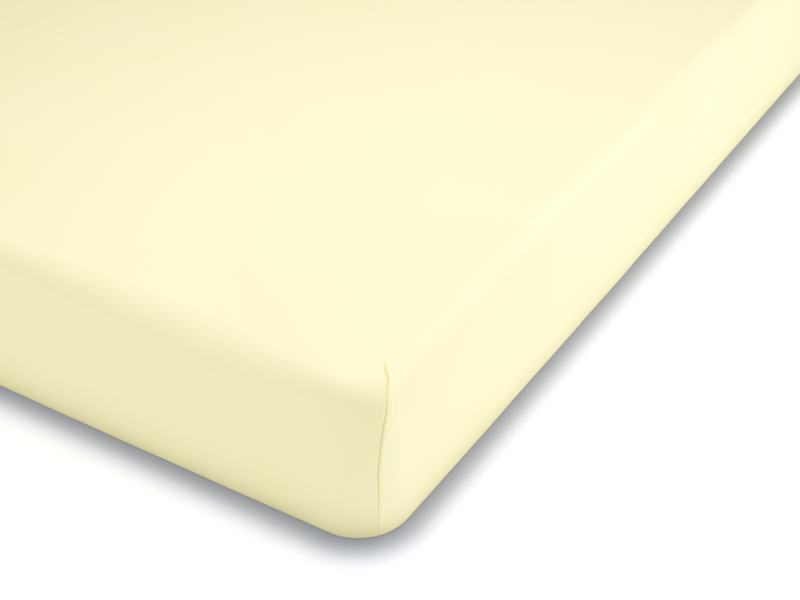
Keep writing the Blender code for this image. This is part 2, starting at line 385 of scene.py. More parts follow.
@dataclass(frozen=True)
class Hem:
    """The elasticated hem on the underside: a turned-in edge that gathers the cloth."""

    width: float = 0.014
    gathers: int = 96  # round the whole bed
    gather_height: float = 0.0014
    gather_fade: tuple[float, float] = (0.2, 2.2)  # where they flatten, in widths from the edge
    drift: float = 5.0  # how far they wander from an even spacing, in radians
    drift_reach: float = 4.0  # how often they do so round the bed
    drift_level: float = 0.7  # the level of the noise that they follow
    scallop: float = 0.0025  # how far the edge wanders in and out
    edge_bulge: float = 0.0008  # how far the fold at the edge rounds out
    fold: float = 0.0012  # how much thicker the turned-in cloth is
    fold_slope: float = 0.002  # over how far the turned-in cloth thins out at its own edge
    stitch_offset: float = 0.011  # from the edge to the line of stitches
    stitch_pitch: float = 0.0065
    stitch_share: float = 0.4  # half a stitch's length, as a share of the pitch
    stitch_dent: float = 0.0006  # how far the stitches draw the cloth up
    stitch_dent_reach: float = 0.0012

    def wave(self, run: float, around: float) -> float:
        """How high the cloth gathers at a place round the bed.

        Args:
            run: How far round the bed the place is.
            around: The length of the whole way round.

        Returns:
            The height, from 0 in a trough to 1 on a gather.
        """
        turn = 2 * math.pi * run / around
        reach = self.drift_reach
        spot = Vector((reach * math.cos(turn), reach * math.sin(turn), self.drift_level))
        return 0.5 + 0.5 * math.sin(turn * self.gathers + self.drift * noise.noise(spot))


@dataclass(frozen=True)
class ClothForm:
    """The form that the sheet takes on the bed, as one point for each column and section."""

    length: float = 2.009
    width: float = 0.909
    height: float = 0.1846
    corner_radius: float = 0.055
    edge_share: float = 0.75  # how far the top edge rounds inward, as a share of downward
    edge_inset: float = 0.03  # about how far in from the side the rounding begins
    foot_radius: float = 0.0035
    crown_width: float = 0.220  # how far in from the side the top becomes level
    crown_corner: float = 0.110
    middle_gap: float = 0.012  # half the width of the last loop, in the middle of the top
    middle_corner: float = 0.6  # radius of that loop's corners, as a share of the gap
    return_spread: float = 0.055  # how far under the bed the elastic has widened the corners
    corner_sag: float = 0.007
    corner_hollow: float = 0.0008
    dent_angle: float = 36.0
    dent_width: float = 15.0
    dent_height: float = 0.020
    dent_z: float = 0.146
    side_pitch: float = 0.016  # between columns on a side
    side_starts: tuple[float, ...] = (0.003, 0.008)  # extra columns beside the corners
    seam_lines: tuple[float, ...] = (0.3, 0.6, 0.9, 1.3, 1.8, 2.4, 3.1, 4.0, 5.1, 6.6)  # degrees
    before_lines: int = 8
    after_lines: int = 4
    unevenness: float = 0.00045
    uneven_pitch: float = 0.11  # from one rise to the next
    uneven_fine: float = 0.5  # the share of it that a finer pitch adds
    uneven_fine_pitch: float = 0.045
    uneven_apart: float = 5.0  # keeps the finer one from rising with the other
    even_from: float = 1.8  # the crown's place where it has faded out
    seam: CornerSeam = CornerSeam()
    hem: Hem = Hem()

    def half_extents(self, quarter: int) -> tuple[float, float]:
        """Half the outline along a side and across it.

        Args:
            quarter: Which side.

        Returns:
            The two lengths.
        """
        if quarter % 2 == 0:
            return self.length / 2, self.width / 2
        return self.width / 2, self.length / 2

    def around(self) -> float:
        """The length of the outline at the foot."""
        straight = 2 * (self.length + self.width) - 8 * self.corner_radius
        return straight + 2 * math.pi * self.corner_radius

    def side_knots(self, quarter: int) -> list[Station]:
        """The stations of a side with those where its two corners begin.

        Args:
            quarter: Which side.

        Returns:
            The stations in walking order.
        """
        along = self.half_extents(quarter)[0]
        first, last = CORNERS[quarter - 1], CORNERS[quarter]
        if quarter % 2 == 0:
            roundings = first.side_rounding, last.side_rounding
        else:
            roundings = first.end_rounding, last.end_rounding
        ends = self.corner_radius, 2 * along - self.corner_radius
        start, finish = (
            Station(place, rounding, self.corner_hollow, self.corner_sag)
            for place, rounding in zip(ends, roundings)
        )
        return [start, *SIDES[quarter], finish]

    def side_columns(self, quarter: int, run: float) -> list[Column]:
        """The columns on one straight side, evenly spaced but for those beside its corners.

        Args:
            quarter: Which side.
            run: How far round the bed the side begins.

        Returns:
            The columns in walking order.
        """
        knots = self.side_knots(quarter)
        first, last = knots[0].distance, knots[-1].distance
        count = round((last - first) / self.side_pitch)
        starts = [start / (last - first) for start in self.side_starts]
        shares = starts + [step / count for step in range(1, count)] + [1 - s for s in starts[::-1]]
        columns = []
        for share in shares:
            place = blend(first, last, share)
            lie = {
                name: smooth_through([(k.distance, getattr(k, name)) for k in knots], place)
                for name in ("rounding", "hollow", "sag")
            }
            columns.append(Column(quarter, Span.SIDE, share, run=run + place - first, **lie))
        return columns

    def corner_columns(self, quarter: int, run: float) -> list[Column]:
        """The columns round one corner, close together at its seam.

        Args:
            quarter: The side that ends in the corner.
            run: How far round the bed the corner begins.

        Returns:
            The columns in walking order.
        """
        arc = math.pi / 2 * self.corner_radius
        lines = [-line for line in self.seam_lines[::-1]] + [0.0, *self.seam_lines]
        middle = run + arc / 2
        before = [
            Column(quarter, Span.BEFORE, share, run=blend(run, middle, share))
            for share in (i / self.before_lines for i in range(self.before_lines))
        ]
        seam = [Column(quarter, Span.SEAM, past_seam=line, run=middle) for line in lines]
        after = [
            Column(quarter, Span.AFTER, share, run=blend(middle, run + arc, share))
            for share in ((i + 1) / self.after_lines for i in range(self.after_lines))
        ]
        return before + seam + after

    def columns(self) -> list[Column]:
        """The columns round the whole bed.

        Returns:
            The columns, anticlockwise from the near side.
        """
        found: list[Column] = []
        run = 0.0
        for quarter in range(4):
            found += self.side_columns(quarter, run)
            run += 2 * (self.half_extents(quarter)[0] - self.corner_radius)
            found += self.corner_columns(quarter, run)
            run += math.pi / 2 * self.corner_radius
        return found

    def section_at(self, level: float) -> Section:
        """The section at any level, between the ones of the table.

        Args:
            level: A place in SECTIONS, with a fraction, or below 0 for the middle of the top.

        Returns:
            The section, blended smoothly from its neighbours.
        """
        if level < 0:
            first = SECTIONS[0]
            return Section(Zone.CROWN, 1.0 - level, first.tuck, first.corner, first.lean)
        index = min(int(level), len(SECTIONS) - 2)
        here, there = SECTIONS[index], SECTIONS[index + 1]
        start, finish = here.place, there.place
        zone = here.zone
        if here.zone != there.zone:
            if here.zone in (Zone.CROWN, Zone.EDGE):
                finish = 0.0
            else:
                zone, start = there.zone, 0.0
        values = [
            smooth_through([(i, getattr(s, name)) for i, s in enumerate(SECTIONS)], level)
            for name in ("tuck", "corner", "lean", "sewn")
        ]
        return Section(zone, blend(start, finish, level - index), *values)

    def seam_angle(self, quarter: int, section: Section) -> float:
        """Where the seam stands, in degrees round the corner in walking order."""
        lean = section.lean * CORNERS[quarter].lean
        return 45 + lean if quarter % 2 else 45 - lean

    def corner_angle(self, column: Column, section: Section) -> float:
        """How far round its corner a column stands.

        Args:
            column: A column of the corner.
            section: The loop that it is asked for, because the seam leans from loop to loop.

        Returns:
            The angle in degrees, in walking order.
        """
        seam = self.seam_angle(column.quarter, section)
        reach = self.seam_lines[-1]
        if column.span is Span.BEFORE:
            return (seam - reach) * column.share
        if column.span is Span.SEAM:
            return seam + column.past_seam
        return blend(seam + reach, 90, column.share)

    def from_end(self, quarter: int, angle: float) -> float:
        """An angle in walking order as degrees from the short end's face."""
        return angle if quarter % 2 else 90 - angle

    def lie(self, column: Column, section: Section) -> tuple[float, float, float]:
        """How the cloth lies at a column.

        Args:
            column: The line from the middle of the top to the hem.
            section: The loop that it is asked for.

        Returns:
            The radius of the top edge, the hollow of the side and the sag of the top edge.
        """
        if column.span is Span.SIDE:
            return column.rounding, column.hollow, column.sag
        corner = CORNERS[column.quarter]
        seam = 45 + section.lean * corner.lean
        angle = self.from_end(column.quarter, self.corner_angle(column, section))
        if angle < seam:
            rounding = blend(corner.end_rounding, corner.seam_rounding, ramp(0, seam, angle))
        else:
            rounding = blend(corner.seam_rounding, corner.side_rounding, ramp(seam, 90, angle))
        return rounding, self.corner_hollow, self.corner_sag

    def plan_place(
        self, column: Column, section: Section, inset: float, radius: float
    ) -> tuple[Vector, Vector]:
        """Where a column crosses a rounded rectangle, in plan.

        Args:
            column: The column.
            section: The loop that the rectangle stands for.
            inset: How far the rectangle lies inside the bed's outline.
            radius: The radius of its corners.

        Returns:
            The place, and the way out of the rectangle there.
        """
        along, across = self.half_extents(column.quarter)
        walk, out = side_ways(column.quarter)
        centre_along = along - inset - radius
        centre_across = across - inset - radius
        if column.span is Span.SIDE:
            run = blend(-centre_along, centre_along, column.share)
            return walk * run + out * (across - inset), out
        angle = math.radians(self.corner_angle(column, section))
        way = out * math.cos(angle) + walk * math.sin(angle)
        return walk * centre_along + out * centre_across + way * radius, way

    def past_seam(self, column: Column, section: Section, radius: float) -> float:
        """How far a column of a corner lies to the long side of its seam.

        Args:
            column: The column.
            section: The loop on which the distance is measured.
            radius: The radius of that loop's corner in plan.

        Returns:
            The distance round the corner, below 0 on the side of the short end.
        """
        quarter = column.quarter
        angle = self.from_end(quarter, self.corner_angle(column, section))
        seam = self.from_end(quarter, self.seam_angle(quarter, section))
        return math.radians(angle - seam) * radius

    def detail(
        self, column: Column, section: Section, point: Vector, radius: float, below: float
    ) -> float:
        """How far the outside of the cloth stands over its plain form.

        Args:
            column: The line that the point is on.
            section: The loop that the point is on.
            point: Its place on the plain form.
            radius: Radius of the loop's corner in plan.
            below: How far it lies below the upper end of the corner's seam.

        Returns:
            The height of the seam, the dent and the unevenness together.
        """
        fade = 1.0
        if section.zone is Zone.CROWN:
            fade = 1.0 - ramp(1.0, self.even_from, section.place)
        elif section.zone is Zone.RETURN:
            fade = 0.0
        push = self.unevenness * fade * noise.noise(point / self.uneven_pitch)
        finer = point / self.uneven_fine_pitch + UP * self.uneven_apart
        push += self.uneven_fine * self.unevenness * fade * noise.noise(finer)
        if column.span is Span.SIDE:
            return push
        quarter = column.quarter
        angle = self.from_end(quarter, self.corner_angle(column, section))
        across = self.past_seam(column, section, radius)
        push += self.seam.height(across, below, section.sewn, quarter)
        push -= (
            CORNERS[quarter].dent
            * bell(angle - self.dent_angle, self.dent_width)
            * bell(point.z - self.dent_z, self.dent_height)
        )
        return push

    def point(self, column: Column, section: Section, skin: Skin) -> Vector:
        """The point where a column meets a section, on one skin.

        Args:
            column: The line from the middle of the top to the hem.
            section: The loop round the bed.
            skin: The face of the cloth or of the mattress.

        Returns:
            The point, on or above the floor.
        """
        rounding, hollow, sag = self.lie(column, section)
        sag *= skin.sag
        edge_top = self.height - sag
        edge_radius = rounding - skin.rounding
        edge_reach = self.edge_share * edge_radius
        foot_radius = self.foot_radius - skin.rounding
        inset = section.tuck + hollow + skin.side
        corner_radius = self.corner_radius * section.corner
        radius = corner_radius - inset
        out_share, up_share = 1.0, 0.0
        quarter_turn = edge_radius * math.pi / 2
        if section.zone is Zone.CROWN:
            start = inset + edge_reach
            within = min(section.place, 1.0)
            inset = blend(start, self.crown_width, within)
            radius = blend(radius - edge_reach, self.crown_corner, within)
            below = start - inset
            if section.place > 1.0:
                beyond = section.place - 1.0
                inset = blend(inset, self.width / 2 - self.middle_gap, beyond)
                radius = blend(radius, self.middle_corner * self.middle_gap, beyond)
            z = edge_top - skin.face + sag * math.sin(within * math.pi / 2)
            out_share, up_share = 0.0, 1.0
        elif section.zone is Zone.EDGE:
            angle = math.radians(section.place)
            out_share, up_share = math.cos(angle), math.sin(angle)
            inset += edge_reach * (1 - out_share)
            radius -= edge_reach * (1 - out_share)
            z = edge_top - skin.face - edge_radius * (1 - up_share)
            below = quarter_turn - edge_radius * angle
        elif section.zone is Zone.SIDE:
            low = skin.face + foot_radius
            high = edge_top - skin.face - edge_radius
            z = blend(low, high, section.place)
            below = quarter_turn + high - z
        elif section.zone is Zone.FOOT:
            angle = math.radians(section.place)
            out_share, up_share = math.cos(angle), -math.sin(angle)
            inset += foot_radius * (1 - out_share)
            radius -= foot_radius * (1 - out_share)
            z = skin.face + foot_radius * (1 + up_share)
            below = self.height + foot_radius * angle
        else:
            start = hollow + skin.side + foot_radius
            inset = section.tuck + max(section.place, start)
            wide = min(section.place / self.return_spread, 1.0)
            radius = blend(corner_radius - start, self.corner_radius + section.place, wide)
            z = skin.face
            out_share, up_share = 0.0, -1.0
            below = self.height + section.place
        place, way = self.plan_place(column, section, inset, radius)
        place.z = z
        push = 0.0
        if skin.detailed:
            push = self.detail(column, section, place, radius, below)
        elif column.span is not Span.SIDE and section.zone is not Zone.RETURN:
            across = self.past_seam(column, section, radius)
            push = self.seam.inner_height(across, below, section.sewn)
        place += (way * out_share + UP * up_share) * push
        place.z = max(place.z, 0.0)
        return place


def new_mesh(name: str, bm: bmesh.types.BMesh) -> bpy.types.Mesh:
    """Turn a finished model into a mesh.

    Args:
        name: The mesh's name.
        bm: The model, which is let go.

    Returns:
        The mesh.
    """
    mesh = bpy.data.meshes.new(name)
    bm.to_mesh(mesh)
    bm.free()
    return mesh


def new_object(name: str, data: bpy.types.ID) -> bpy.types.Object:
    """Put a mesh, a light or a camera in the scene.

    Args:
        name: The object's name.
        data: What it shows.

    Returns:
        The object, at the origin.
    """
    thing = bpy.data.objects.new(name, data)
    bpy.context.scene.collection.objects.link(thing)
    return thing


@dataclass
class Loft:
    """A closed shell drawn from loop to loop, with the flat cloth's places as its UV map."""

    name: str
    form: ClothForm
    columns: list[Column]
    rows: list[list[Vector]] = field(default_factory=list)
    flats: list[tuple[float, bool]] = field(default_factory=list)  # level of a row, on the inside?

    def add_row(self, level: float, points: list[Vector], inside: bool = False) -> None:
        """Add one closed loop of points, at a level, on the outside or the inside."""
        self.rows.append(points)
        self.flats.append((level, inside))

    def panel_after(self, index: int) -> int:
        """Which side of the bed the cloth belongs to, from a column to the next one.

        Args:
            index: The column.

        Returns:
            The side.
        """
        column = self.columns[index]
        before = column.span in (Span.SIDE, Span.BEFORE)
        if column.span is Span.SEAM:
            before = column.past_seam < 0
        return column.quarter if before else (column.quarter + 1) % 4

    def arcs(self) -> list[list[float]]:
        """How far each point lies from the top edge along its column, on its own face.

        Returns:
            The distances, as a list for each row.
        """
        tops = {
            inside: min(
                (i for i, flat in enumerate(self.flats) if flat[1] is inside and flat[0] >= 0),
                key=lambda i: abs(self.flats[i][0] - EDGE_TOP),
            )
            for inside in {flat[1] for flat in self.flats}
        }
        found = [[0.0] * len(self.columns) for _ in self.rows]
        for inside, top in tops.items():
            step = -1 if inside else 1
            row = top + step
            while 0 <= row < len(self.rows) and self.flats[row][1] is inside:
                for index, point in enumerate(self.rows[row]):
                    gone = (point - self.rows[row - step][index]).length
                    found[row][index] = found[row - step][index] + gone
                row += step
        return found

    def flat_place(self, row: int, index: int, panel: int, arc: float) -> tuple[float, float]:
        """The place of a point on the cloth laid flat.

        Args:
            row: Its loop.
            index: Its column.
            panel: The side of the bed that the cloth belongs to there.
            arc: How far it lies down from the top edge.

        Returns:
            Metres along the bed and across it, from the middle of the top.
        """
        form, column = self.form, self.columns[index]
        level, _ = self.flats[row]
        point = self.rows[row][index]
        share = ramp(SKIRT_START, SIDE_TOP, level)
        if share == 0.0:
            return point.x, point.y
        along, across = form.half_extents(panel)
        walk, out = side_ways(panel)
        straight = along - form.corner_radius
        if column.span is Span.SIDE:
            run = blend(-straight, straight, column.share)
        else:
            angle = math.radians(form.corner_angle(column, form.section_at(level)))
            if column.quarter == panel:
                run = straight + form.corner_radius * angle
            else:
                run = -straight - form.corner_radius * (math.pi / 2 - angle)
        skirt = walk * run + out * (across - form.edge_inset + arc)
        flat = Vector((point.x, point.y, 0.0)).lerp(skirt, share)
        return flat.x, flat.y

    def build(self) -> bpy.types.Object:
        """Draw the shell: one ring of edges, pushed on from loop to loop and closed at both ends.

        Returns:
            The shell as an object, smooth and with its UV map.
        """
        bm = bmesh.new()
        count = len(self.columns)
        ring = bmesh.ops.create_circle(bm, cap_ends=False, segments=count, radius=1.0)["verts"]
        for vert, point in zip(ring, self.rows[0]):
            vert.co = point
        where = {vert: (0, index) for index, vert in enumerate(ring)}
        first, edges = list(ring), list(bm.edges)
        for row in range(1, len(self.rows)):
            made = bmesh.ops.extrude_edge_only(bm, edges=edges)["geom"]
            fresh = [item for item in made if isinstance(item, bmesh.types.BMVert)]
            new = set(fresh)
            edges = [
                item
                for item in made
                if isinstance(item, bmesh.types.BMEdge) and all(v in new for v in item.verts)
            ]
            for vert in fresh:
                beside = (edge.other_vert(vert) for edge in vert.link_edges)
                index = where[next(old for old in beside if old not in new)][1]
                where[vert] = (row, index)
                vert.co = self.rows[row][index]
        last = [vert for vert, (row, _) in where.items() if row == len(self.rows) - 1]
        for loop in (first, last):
            bmesh.ops.contextual_create(bm, geom=loop)
        bmesh.ops.recalc_face_normals(bm, faces=bm.faces)
        self.unfold(bm, where)
        mesh = new_mesh(self.name, bm)
        mesh.shade_smooth()
        return new_object(self.name, mesh)

    def unfold(
        self, bm: bmesh.types.BMesh, where: dict[bmesh.types.BMVert, tuple[int, int]]
    ) -> None:
        """Write the UV map: each side's cloth folded out flat round the top.

        Args:
            bm: The finished shell.
            where: The row and the column of each of its points.
        """
        layer = bm.loops.layers.uv.new("flat")
        arcs = self.arcs()
        count = len(self.columns)
        for face in bm.faces:
            seats = [where[loop.vert] for loop in face.loops]
            indices = {index for _, index in seats}
            starts = [i for i in indices if (i + 1) % count in indices]
            panel = self.panel_after(starts[0]) if len(starts) == 1 else 0
            for loop, (row, index) in zip(face.loops, seats):
                loop[layer].uv = self.flat_place(row, index, panel, arcs[row][index])


def linear(shade: str) -> tuple[float, float, float, float]:
    """A screen colour as the linear values that a shader takes.

    Args:
        shade: The colour in sRGB, as six hexadecimal digits.

    Returns:
        Its linear red, green and blue, and an alpha of 1.
    """
    channels = [int(shade[start : start + 2], 16) / 255 for start in (0, 2, 4)]
    values = [c / 12.92 if c <= 0.04045 else ((c + 0.055) / 1.055) ** 2.4 for c in channels]
    return values[0], values[1], values[2], 1.0


def add_node(
    tree: bpy.types.NodeTree,
    kind: str,
    settings: dict[str, Any] | None = None,
    inputs: dict[str | int, Any] | None = None,
) -> bpy.types.Node:
    """Add one node to a material.

    Args:
        tree: The material's nodes.
        kind: The node's type.
        settings: Its own properties.
        inputs: For each input, a value, or the output that is linked to it.

    Returns:
        The new node.
    """
    node = tree.nodes.new(kind)
    for name, value in (settings or {}).items():
        setattr(node, name, value)
    for name, value in (inputs or {}).items():
        if isinstance(value, bpy.types.NodeSocket):
            tree.links.new(value, node.inputs[name])
        else:
            node.inputs[name].default_value = value
    return node


def new_material(name: str) -> tuple[bpy.types.Material, bpy.types.NodeTree, bpy.types.Node]:
    """Begin a material.

    Args:
        name: The material's name.

    Returns:
        The material, its nodes, and its shader.
    """
    material = bpy.data.materials.new(name)
    material.use_nodes = True
    tree = material.node_tree
    return material, tree, tree.nodes["Principled BSDF"]


@dataclass(frozen=True)
class CottonJersey:
    """Combed cotton jersey, knitted plain, dyed pale butter yellow and washed.

    The face is a matt field of fine upright loops with a short nap. The nap catches light at a
    glancing view, so the cloth stays light towards its outlines and never shines.
    """

    shade: str = "F5EAAB"
    deep: str = "EEDF94"  # painted shade between the loops, where light bounces from cloth to cloth; also the dye's deeper patches
    roughness: float = 0.88
    sheen: float = 0.12
    sheen_roughness: float = 0.5
    wale: float = 0.0016  # from one column of loops to the next: 0.7 mm on the cloth, drawn coarser
    course: float = 0.0013  # from one row of loops to the next: 0.5 mm on the cloth, drawn coarser
    climb: float = 1.1  # how many courses the arm of a loop climbs for each wale that it crosses
    relief: float = 0.00012
    loop_relief: float = 0.35  # how much the loops rise and fall along a wale, which is 1 high
    nap_relief: float = 0.9  # and how much the nap adds
    nap: float = 0.0007  # spacing of the nap's fibres
    dye_contrast: tuple[float, float] = (0.3, 0.7)  # the noise's values at its palest and deepest
    dye_depth: tuple[float, float] = (0.10, 0.30)  # how deep the colour is there
    painted_knit_shade: float = 0.16  # painted shade: how much paler the high parts of the knit are than its valleys

    def material(self) -> bpy.types.Material:
        """The finish as a material that follows the cloth's own UV map.

        Returns:
            The material.
        """
        material, tree, shader = new_material("cotton_jersey_knitted_and_washed")
        place = add_node(tree, "ShaderNodeUVMap", {"uv_map": "flat"}).outputs[0]
        axes = add_node(tree, "ShaderNodeSeparateXYZ", inputs={0: place}).outputs
        math_node = "ShaderNodeMath"
        # Each wale is a row of V shapes: two arms that slant from its middle to its edges.
        wales = add_node(tree, math_node, {"operation": "DIVIDE"}, {0: axes[0], 1: self.wale})
        within = add_node(tree, math_node, {"operation": "PINGPONG"}, {0: wales.outputs[0], 1: 0.5})
        arm = add_node(
            tree, math_node, {"operation": "MULTIPLY"}, {0: within.outputs[0], 1: self.climb}
        )
        courses = add_node(tree, math_node, {"operation": "DIVIDE"}, {0: axes[1], 1: self.course})
        slant = add_node(
            tree, math_node, {"operation": "ADD"}, {0: courses.outputs[0], 1: arm.outputs[0]}
        )
        turn = add_node(
            tree, math_node, {"operation": "MULTIPLY"}, {0: slant.outputs[0], 1: 2 * math.pi}
        )
        loops = add_node(tree, math_node, {"operation": "SINE"}, {0: turn.outputs[0]})
        # A wale is 1 high along its middle and 0 at the valleys beside it.
        valley = add_node(
            tree, math_node, {"operation": "MULTIPLY_ADD"},
            {0: within.outputs[0], 1: -2.0, 2: 1.0},
        )
        knit = add_node(
            tree, math_node, {"operation": "MULTIPLY_ADD"},
            {0: loops.outputs[0], 1: self.loop_relief, 2: valley.outputs[0]},
        )
        fibres = add_node(
            tree, "ShaderNodeTexNoise",
            inputs={"Vector": place, "Scale": 1 / self.nap, "Detail": 3.0, "Roughness": 0.6},
        )
        surface = add_node(
            tree, math_node, {"operation": "MULTIPLY_ADD"},
            {0: fibres.outputs[0], 1: self.nap_relief, 2: knit.outputs[0]},
        )
        bump = add_node(
            tree, "ShaderNodeBump",
            inputs={"Strength": 0.5, "Distance": self.relief, "Height": surface.outputs[0]},
        )
        # Yarn takes up dye a little unevenly, over a hand's breadth.
        patches = add_node(
            tree, "ShaderNodeTexNoise",
            inputs={"Vector": place, "Scale": 7.0, "Detail": 2.0, "Roughness": 0.5},
        )
        low, high = self.dye_contrast
        pale, full = self.dye_depth
        depth = add_node(
            tree, "ShaderNodeMapRange",
            inputs={0: patches.outputs[0], 1: low, 2: high, 3: pale, 4: full},
        )
        # Deeper where the dye takes deeper, plus painted shade: deeper in the knit's valleys, paler
        # on its high loops.
        between = add_node(
            tree, math_node, {"operation": "MULTIPLY_ADD"},
            {0: knit.outputs[0], 1: -self.painted_knit_shade, 2: depth.outputs[0]},
        )
        tint = add_node(
            tree, "ShaderNodeMix", {"data_type": "RGBA", "clamp_factor": True},
            {0: between.outputs[0], 6: linear(self.shade), 7: linear(self.deep)},
        )
        tree.links.new(tint.outputs[2], shader.inputs["Base Color"])
        tree.links.new(bump.outputs[0], shader.inputs["Normal"])
        shader.inputs["Roughness"].default_value = self.roughness
        shader.inputs["Sheen Weight"].default_value = self.sheen
        shader.inputs["Sheen Roughness"].default_value = self.sheen_roughness
        shader.inputs["Sheen Tint"].default_value = linear(self.shade)
        shader.inputs["Specular IOR Level"].default_value = 0.2
        return material


@dataclass(frozen=True)
class SewingThread:
    """Spun polyester thread, twisted and dyed to the cloth: smoother, so a little brighter."""

    shade: str = "F0E39F"
    # painted shade, in the grooves between the strands
    deep: str = "E4D68F"
    roughness: float = 0.55
    twist: float = 0.0006  # from one turn of the strands to the next

    def material(self) -> bpy.types.Material:
        """The finish as a material, with the thread's twist as fine bands.

        Returns:
            The material.
        """
        material, tree, shader = new_material("polyester_thread_spun")
        place = add_node(tree, "ShaderNodeTexCoord").outputs["Object"]
        strands = add_node(
            tree, "ShaderNodeTexWave", {"bands_direction": "DIAGONAL"},
            {"Vector": place, "Scale": WAVE_PERIOD / self.twist, "Distortion": 1.0},
        )
        bump = add_node(
            tree, "ShaderNodeBump",
            inputs={"Strength": 0.4, "Distance": 0.00008, "Height": strands.outputs["Fac"]},
        )
        # The colour is deeper in the grooves between the strands: painted shade that follows the
        # bump.
        tint = add_node(
            tree, "ShaderNodeMix", {"data_type": "RGBA"},
            {0: strands.outputs["Fac"], 6: linear(self.deep), 7: linear(self.shade)},
        )
        tree.links.new(tint.outputs[2], shader.inputs["Base Color"])
        tree.links.new(bump.outputs[0], shader.inputs["Normal"])
        shader.inputs["Roughness"].default_value = self.roughness
        return material


@dataclass(frozen=True)
class CottonTicking:
    """Unbleached cotton ticking in a plain weave: off-white, dense, dry and slightly slubbed."""

    warp: str = "F1ECDF"
    weft: str = "E4DDCB"
    roughness: float = 0.92
    thread: float = 0.0022  # from thread to thread: 0.5 mm on the cloth, drawn coarser
    slub_relief: float = 0.5  # how much the slubs add to the weave, which is 1 high
    relief: float = 0.00015

    def material(self) -> bpy.types.Material:
        """The finish as a material that follows the cover's own UV map.

        Returns:
            The material.
        """
        material, tree, shader = new_material("cotton_ticking_woven")
        place = add_node(tree, "ShaderNodeUVMap", {"uv_map": "flat"}).outputs[0]
        scale = WAVE_PERIOD / self.thread
        along, across = (
            add_node(
                tree, "ShaderNodeTexWave", {"bands_direction": way},
                {"Vector": place, "Scale": scale, "Distortion": 0.4, "Detail": 1.0},
            )
            for way in ("X", "Y")
        )
        weave = add_node(
            tree, "ShaderNodeMath", {"operation": "MULTIPLY"},
            {0: along.outputs["Fac"], 1: across.outputs["Fac"]},
        )
        slubs = add_node(
            tree, "ShaderNodeTexNoise",
            inputs={"Vector": place, "Scale": 60.0, "Detail": 4.0, "Roughness": 0.6},
        )
        mixed = add_node(
            tree, "ShaderNodeMath", {"operation": "MULTIPLY_ADD"},
            {0: slubs.outputs[0], 1: self.slub_relief, 2: weave.outputs[0]},
        )
        bump = add_node(
            tree, "ShaderNodeBump",
            inputs={"Strength": 0.6, "Distance": self.relief, "Height": mixed.outputs[0]},
        )
        tint = add_node(
            tree, "ShaderNodeMix", {"data_type": "RGBA", "clamp_factor": True},
            {0: mixed.outputs[0], 6: linear(self.weft), 7: linear(self.warp)},
        )
        tree.links.new(tint.outputs[2], shader.inputs["Base Color"])
        tree.links.new(bump.outputs[0], shader.inputs["Normal"])
        shader.inputs["Roughness"].default_value = self.roughness
        shader.inputs["Specular IOR Level"].default_value = 0.25
        return material


